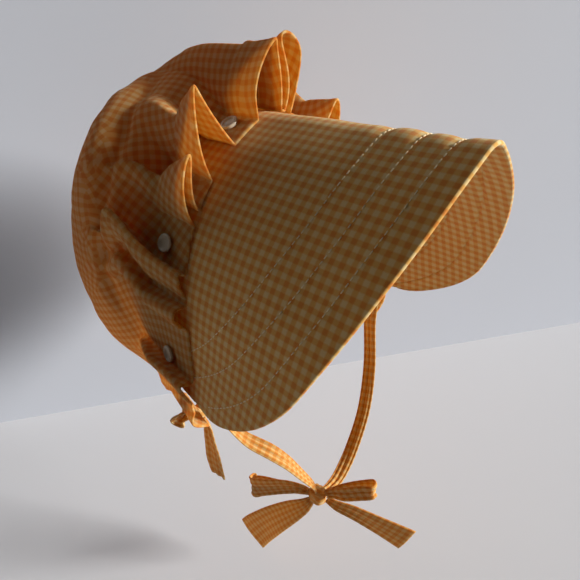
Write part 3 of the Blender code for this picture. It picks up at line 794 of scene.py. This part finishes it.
# A button: its profile turned round the brim's normal where it is sewn on, closed by a fan at each end.
def makeButton(number, arc):
    place = np.array([arc])
    depth = seatDepth(place, seats[1])
    out = brimNormal(place, depth)[0]
    ground = brimSurface(place, depth)[0] + out * (2 * crownSize["gap"] + crownSize["cadWall"])
    side = unit(np.cross(out, np.array([0.0, 1.0, 0.0])))
    back = np.cross(side, out)
    turns = buttonSize["turns"]
    angle = np.arange(turns) * 2 * np.pi / turns
    spokes = np.cos(angle)[:, None] * side + np.sin(angle)[:, None] * back
    radius, height = buttonSize["radius"], buttonSize["height"]
    rings = [ground + spokes * r * radius + out * h * height for r, h in buttonProfile]
    top = ground + out * buttonSize["dish"] * height
    points = np.concatenate([*rings, [top], [ground]])
    quads, fans = ringQuads(len(rings), turns), ringFans(len(rings), turns)
    return addMesh(f"buttonShell{number}", points, quads, points[:, :2] / check, pearl, fans)


buttonArcs = [-a for a in reversed(buttonSize["arcs"])] + list(buttonSize["arcs"])
for number, arc in enumerate(buttonArcs):
    button = makeButton(number + 1, arc)
    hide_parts(f"button_{number + 1}")
    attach(button, "root")
print("buttons ready")


tieSize = {
    "wall": 1.0,
    "hemWall": 1.5,
    "cadWall": 1.5,
    "flatWidth": 30.0,
    "gatheredShare": 0.9,
    "seatWidth": 12.0,
    "columns": 25,
    "pleats": 2.5,
    "waveHeight": 0.8,
    "waveLength": 17.0,
    "hemShare": 0.38,
    "endHem": 3.5,
    "knotEnd": 5.5,
    "power": 2.5,
    "grooveWidth": 0.10,
    "pole": 0.96,
}
# arc and depth of the places where a chin tie is sewn on
tieSeats = ((166.0, 48.0), (175.0, 52.5), (184.0, 57.0))
# x, y, z, width, turn of the width about the run in degrees
chinTieRight = (
    (-91.5, -17.5, -157.0, 13.0, 5.0),
    (-84.0, -21.0, -179.0, 12.0, 15.0),
    (-75.0, -35.0, -198.0, 10.0, 35.0),
    (-64.0, -50.0, -210.0, 10.0, 60.0),
    (-55.0, -57.0, -223.0, 10.0, 50.0),
    (-46.0, -61.0, -240.0, 10.0, 40.0),
    (-37.0, -65.0, -258.0, 8.0, 30.0),
)
chinTieLeft = (
    (91.5, -17.5, -157.0, 13.0, -5.0),
    (84.0, -22.0, -186.0, 12.0, 0.0),
    (71.0, -34.0, -222.0, 11.0, 0.0),
    (50.0, -46.0, -252.0, 11.0, 0.0),
    (24.0, -55.0, -273.0, 11.0, 0.0),
    (0.0, -62.0, -281.0, 10.0, 0.0),
    (-15.0, -65.0, -280.0, 8.0, 0.0),
)
bowLoopRight = (
    (-41.0, -52.0, -270.0, 10.0, 0.0),
    (-46.0, -40.0, -275.0, 15.0, 0.0),
    (-53.0, -24.0, -284.0, 18.0, 0.0),
    (-55.5, -13.0, -291.0, 19.0, 0.0),
    (-51.0, -8.0, -295.0, 19.0, 0.0),
    (-46.0, -14.0, -294.0, 18.0, 0.0),
    (-41.0, -32.0, -286.0, 15.0, 0.0),
    (-36.0, -50.0, -279.0, 10.0, 0.0),
)
bowLoopLeft = (
    (-26.5, -78.0, -267.0, 8.0, 0.0),
    (-25.0, -87.0, -261.0, 11.0, 0.0),
    (-20.0, -98.0, -254.0, 13.0, 0.0),
    (-15.0, -106.0, -250.0, 13.0, 0.0),
    (-10.0, -103.0, -252.0, 13.0, 0.0),
    (-12.0, -92.0, -259.0, 11.0, 0.0),
    (-18.0, -79.0, -267.0, 8.0, 0.0),
)
bowTailRight = (
    (-38.0, -55.0, -293.0, 12.0, 0.0),
    (-42.0, -45.0, -306.0, 18.0, 0.0),
    (-48.0, -26.0, -332.0, 25.0, 0.0),
    (-51.0, -8.0, -360.0, 30.0, 0.0),
    (-52.0, 2.0, -378.0, 32.0, 0.0),
)
bowTailLeft = (
    (-23.0, -80.0, -284.0, 12.0, 0.0),
    (-16.0, -91.0, -289.0, 17.0, 0.0),
    (-6.0, -108.0, -298.0, 22.0, 0.0),
    (5.0, -128.0, -308.0, 27.0, 0.0),
)
napeTieLoop = (
    (-87.0, 9.0, -194.0, 8.0, 0.0),
    (-90.5, 16.0, -198.5, 12.0, 0.0),
    (-92.0, 23.0, -206.0, 14.0, 0.0),
    (-88.0, 25.0, -213.0, 14.0, 0.0),
    (-83.5, 19.0, -209.0, 12.0, 0.0),
    (-82.5, 10.0, -200.0, 8.0, 0.0),
)
napeTieTail = (
    (-83.5, -3.0, -203.0, 11.0, 0.0),
    (-84.0, -4.0, -215.0, 15.0, 0.0),
    (-84.0, -5.0, -228.0, 18.0, 0.0),
    (-84.5, -6.0, -241.0, 19.0, 0.0),
    (-84.5, -8.0, -253.0, 17.0, 0.0),
)
chinKnot = {"place": (-31.0, -65.0, -276.0), "size": (13.0, 15.0, 17.0)}
napeKnot = {"place": (-85.2, 1.4, -190.1), "size": (10.0, 11.0, 11.0)}
# depth, direction across, and place along that direction of each groove where the cloth wraps round a knot
knotGrooves = (
    (0.10, (0.8, 0.0, 0.5), 0.25),
    (0.08, (0.0, 0.7, -0.6), -0.2),
)


# A strap's last row: clear of the knot, on the line from its middle to the strap's first free row.
def knotEnd(row, knot):
    place, size = np.array(knot["place"]), np.array(knot["size"])
    away = unit(np.array(row[:3]) - place)
    reach = np.sum(np.abs(2 * away / size) ** tieSize["power"]) ** (-1 / tieSize["power"])
    return (*(place + away * (reach + crownSize["gap"])), tieSize["knotEnd"], row[4])


# The rows of a chin tie that lie against the brim's inner face; side is -1 on the right and 1 on the left.
def sewnEnd(side):
    rows = []
    for arc, depth in tieSeats:
        here = brimSurface(np.array([side * arc]), np.array([depth]))[0]
        back = brimSurface(np.array([side * arc]), np.array([depth - 1]))[0]
        out = brimNormal(np.array([side * arc]), np.array([depth]))[0]
        point = here - out * (brimSize["wall"] + 2 * crownSize["gap"] + tieSize["cadWall"] / 2)
        turn = math.degrees(math.atan2((back - here)[0], (back - here)[1]))
        rows.append((*point, tieSize["seatWidth"], turn))
    return tuple(rows)


# A strap of cloth along a path: its width lies across the run, and the further it is drawn in below its
# flat width, the more a sine pleats it across, while a slow sine waves it where it is spread. Its edges
# and the end of a tail have a thicker hem. It comes with its length and mean width.
def makeStrap(name, table, rings, up, seed):
    values = throughPoints(np.array(table), np.linspace(0, len(table) - 1, rings))
    path, width, turn = values[:, :3], values[:, 3:4], np.radians(values[:, 4:])
    run = unit(np.gradient(path, axis=0))
    face = unit(np.cross(run, np.array(up, float)))
    rise = np.cross(face, run)
    side = rise * np.cos(turn) + face * np.sin(turn)
    flat = np.cross(run, side)
    a = np.linspace(-0.5, 0.5, tieSize["columns"])
    spread = np.clip(width / (tieSize["flatWidth"] * tieSize["gatheredShare"]), 0, 1)
    along = np.concatenate([[0], np.cumsum(np.linalg.norm(np.diff(path, axis=0), axis=1))])[:, None]
    pleat = np.sin(2 * np.pi * tieSize["pleats"] * a + seed) * (1 - spread)
    wave = tieSize["waveHeight"] * np.sin(along / tieSize["waveLength"] + 4 * a + seed) * spread
    middle = path[:, None] + side[:, None] * (width * a)[..., None]
    middle = middle + flat[:, None] * (pleat + wave)[..., None]
    hem = step(np.abs(a), tieSize["hemShare"], tieSize["hemShare"] + 0.04) * spread
    end = 1 - step(along[-1] - along, tieSize["endHem"], tieSize["endHem"] + 1.0) if "Tail" in name else 0.0
    wall = tieSize["wall"] + (tieSize["hemWall"] - tieSize["wall"]) * np.maximum(hem, end)
    across = a * tieSize["flatWidth"] / check + 0.25
    checks = np.stack(np.broadcast_arrays(across, along / check), axis=-1)
    meanWidth = np.linalg.norm(np.diff(middle, axis=1), axis=2).sum(axis=1).mean()
    return clothWall(name, middle, wall, checks, tieCloth), along[-1, 0], meanWidth


# A knot: a squared ball on the superellipsoid of its power, with bell-shaped grooves where the cloth
# wraps round it and fine sine ridges.
def makeKnot(name, knot, turns=72, levels=48):
    place, size = np.array(knot["place"]), np.array(knot["size"])
    around = np.arange(turns) * 2 * np.pi / turns
    height = np.linspace(0, np.pi, levels + 2)[1:-1, None]
    wide = np.sin(height)
    ball = np.stack([wide * np.cos(around), wide * np.sin(around), np.cos(height) + 0 * around], axis=-1)
    squared = np.sign(ball) * np.abs(ball) ** (2 / tieSize["power"])
    groove = 0.03 * (1 + np.sin(22 * ball[..., 2] + 5 * ball[..., 0]))
    for depth, across, offset in knotGrooves:
        away = (ball @ np.array(across) - offset) / tieSize["grooveWidth"]
        groove = groove + depth * np.exp(-(away**2))
    shell = place + squared * (1 - groove)[..., None] * size / 2
    pole = np.array([0, 0, size[2] / 2 * tieSize["pole"]])
    points = np.concatenate([shell.reshape(-1, 3), [place + pole], [place - pole]])
    checks = np.stack([points[:, 0] + points[:, 1] * 0.6, points[:, 2] - points[:, 1] * 0.5], axis=1) / check
    return addMesh(name, points, ringQuads(levels, turns), checks, tieCloth, ringFans(levels, turns))


# A table with the ends that go into a knot added to it.
def tied(table, knot, first=True, last=True):
    rows = ((knotEnd(table[0], knot),) if first else ()) + table
    return rows + ((knotEnd(table[-1], knot),) if last else ())


upright, lengthwise, slanted, sideways = (0.0, 0.0, 1.0), (0.0, 1.0, 0.0), (0.0, 1.0, 0.55), (1.0, 0.0, 0.0)
sewnRight = sewnEnd(-1) + tied(chinTieRight, chinKnot, first=False)
sewnLeft = sewnEnd(1) + tied(chinTieLeft, chinKnot, first=False)
loopRight = tied(bowLoopRight, chinKnot)
loopLeft = tied(bowLoopLeft, chinKnot)
loopNape = tied(napeTieLoop, napeKnot)
hungRight = tied(bowTailRight, chinKnot, last=False)
hungLeft = tied(bowTailLeft, chinKnot, last=False)
hungNape = tied(napeTieTail, napeKnot, last=False)
# name, node, rows, rings, the way that the width lies, seed, how it is held, the piece that it rests on
strapPieces = (
    ("chinTieRight", "chin_tie_right", sewnRight, 110, lengthwise, 0.3, "hung", "brimCloth"),
    ("chinTieLeft", "chin_tie_left", sewnLeft, 130, lengthwise, 1.9, "hung", "brimCloth"),
    ("bowLoopRight", "bow_loop_right", loopRight, 120, upright, 0.9, "folded", "chinKnotCloth"),
    ("bowLoopLeft", "bow_loop_left", loopLeft, 100, upright, 2.7, "folded", "chinKnotCloth"),
    ("bowTailRight", "bow_tail_right", hungRight, 90, slanted, 3.6, "hung", "chinKnotCloth"),
    ("bowTailLeft", "bow_tail_left", hungLeft, 80, upright, 4.4, "hung", "chinKnotCloth"),
    ("napeTieLoop", "nape_tie_loop", loopNape, 90, sideways, 5.1, "folded", "napeKnotCloth"),
    ("napeTieTail", "nape_tie_tail", hungNape, 60, lengthwise, 5.8, "hung", "napeKnotCloth"),
)
for name, node, table, rings, up, seed, held, rest in strapPieces:
    strap, length, width = makeStrap(name, table, rings, up, seed)
    print(name, "is", round(length), "mm long and", round(width, 1), "mm wide")
    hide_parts(node)
    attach(strap, "root")
for name, node, knot in (("chinKnotCloth", "chin_knot", chinKnot), ("napeKnotCloth", "nape_knot", napeKnot)):
    ball = makeKnot(name, knot)
    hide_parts(node)
    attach(ball, "root")
print("ties ready")


stageSize = {"floorZ": -415.0, "edgeFrom": (-94.0, 336.0), "edgeTo": (468.0, -12.0), "reach": 4000.0}


# A flat rectangle from one corner and its two sides, in millimetres.
def addPanel(name, corner, one, other, material):
    corner, one, other = (np.array(v, float) for v in (corner, one, other))
    points = np.array([corner, corner + one, corner + one + other, corner + other])
    return addMesh(name, points, np.array([[0, 1, 2, 3]]), points[:, :2] / check, material)


# A floor and an upright wall behind it, which meet along one line; both are plain and pale.
def makeStage():
    start, end = np.array(stageSize["edgeFrom"]), np.array(stageSize["edgeTo"])
    run = unit(end - start)
    away = np.array([-run[1], run[0]])
    reach = stageSize["reach"]
    corner = start - run * reach / 2
    table = plainMaterial("table", (0.66, 0.66, 0.68), 0.5, 0.04, 3.0)
    paint = plainMaterial("wallPaint", (0.50, 0.52, 0.57), 0.8, 0.04, 2.0)
    low = [*corner, stageSize["floorZ"]]
    floor = addPanel("floor", low, [*(run * reach), 0], [*(away * -reach * 0.5), 0], table)
    floor.data.flip_normals()
    wall = addPanel("backdrop", low, [*(run * reach), 0], [0, 0, reach * 0.6], paint)


# A soft sun that shines from the given direction, with the given width of its disc in degrees.
def addSun(name, toward, width, energy, colour):
    data = bpy.data.lights.new(name, "SUN")
    data.angle = math.radians(width)
    data.energy = energy
    data.color = colour
    lamp = bpy.data.objects.new(name, data)
    lamp.rotation_euler = Vector(toward).to_track_quat("Z", "Y").to_euler()
    bpy.context.collection.objects.link(lamp)


cameraView = {
    "place": (-216.6, -239.5, 72.1),
    "right": (0.715, -0.6984, -0.033),
    "up": (0.3843, 0.3532, 0.853),
    "forward": (0.5841, 0.6225, -0.5209),
    "lens": 30.86,
    "sensor": 36.0,
    "near": 0.01,
    "far": 50.0,
}


# The camera stands at its place, turned so that its own axes are right, up and against forward.
def makeCamera():
    data = bpy.data.cameras.new("camera")
    data.sensor_width = cameraView["sensor"]
    data.lens = cameraView["lens"]
    data.clip_start, data.clip_end = cameraView["near"], cameraView["far"]
    camera = bpy.data.objects.new("camera", data)
    against = [-c for c in cameraView["forward"]]
    turned = Matrix((cameraView["right"], cameraView["up"], against)).transposed().to_4x4()
    camera.matrix_world = Matrix.Translation(Vector(cameraView["place"]) * toMetres) @ turned
    bpy.context.collection.objects.link(camera)
    bpy.context.scene.camera = camera


# Even light from all sides, of one colour and strength.
def makeSky(colour, strength):
    world = bpy.data.worlds.new("studio")
    bpy.context.scene.world = world
    world.use_nodes = True
    setInputs(world.node_tree.nodes["Background"], {0: (*colour, 1.0), 1: strength})


makeStage()
addSun("window", (0.57, -0.76, 0.31), 16.0, 6.5, (1.0, 0.99, 0.97))
makeSky((1.0, 0.86, 0.66), 0.02)
bpy.context.scene.view_settings.view_transform = "Standard"
makeCamera()
print("stage ready")
